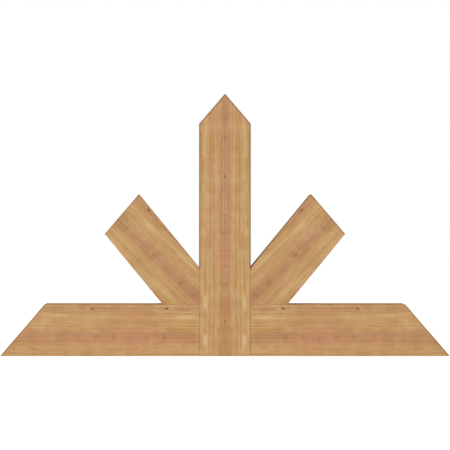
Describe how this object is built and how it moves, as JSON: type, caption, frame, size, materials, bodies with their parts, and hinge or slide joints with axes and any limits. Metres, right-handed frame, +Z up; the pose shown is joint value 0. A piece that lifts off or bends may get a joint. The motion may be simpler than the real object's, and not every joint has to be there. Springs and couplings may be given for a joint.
{
  "type": "decorative gable truss",
  "caption": "Open king post truss for the peak of a gable: upright post with a pointed head, bottom chord in halves and slanting struts, all cut to the roof slope.",
  "frame": {"origin": "middle of the flat underside, half way between front and back", "axes": "+Z up, +X to the right along the bottom chord seen from the front, front towards -Y, back towards +Y"},
  "size_m": [1.2192, 0.1396, 0.7112],
  "materials": {
    "timber": "planed softwood with fine straight grain and small knots, no coating",
    "dowel": "turned beech, fluted"
  },
  "bodies": {
    "root": {"king_post": "timber", "left_chord": "timber", "right_chord": "timber", "left_strut": "timber", "right_strut": "timber", "left_chord_dowels": "dowel", "right_chord_dowels": "dowel", "left_strut_post_dowels": "dowel", "right_strut_post_dowels": "dowel", "left_strut_chord_dowel": "dowel", "right_strut_chord_dowel": "dowel"}
  },
  "joints": []
}
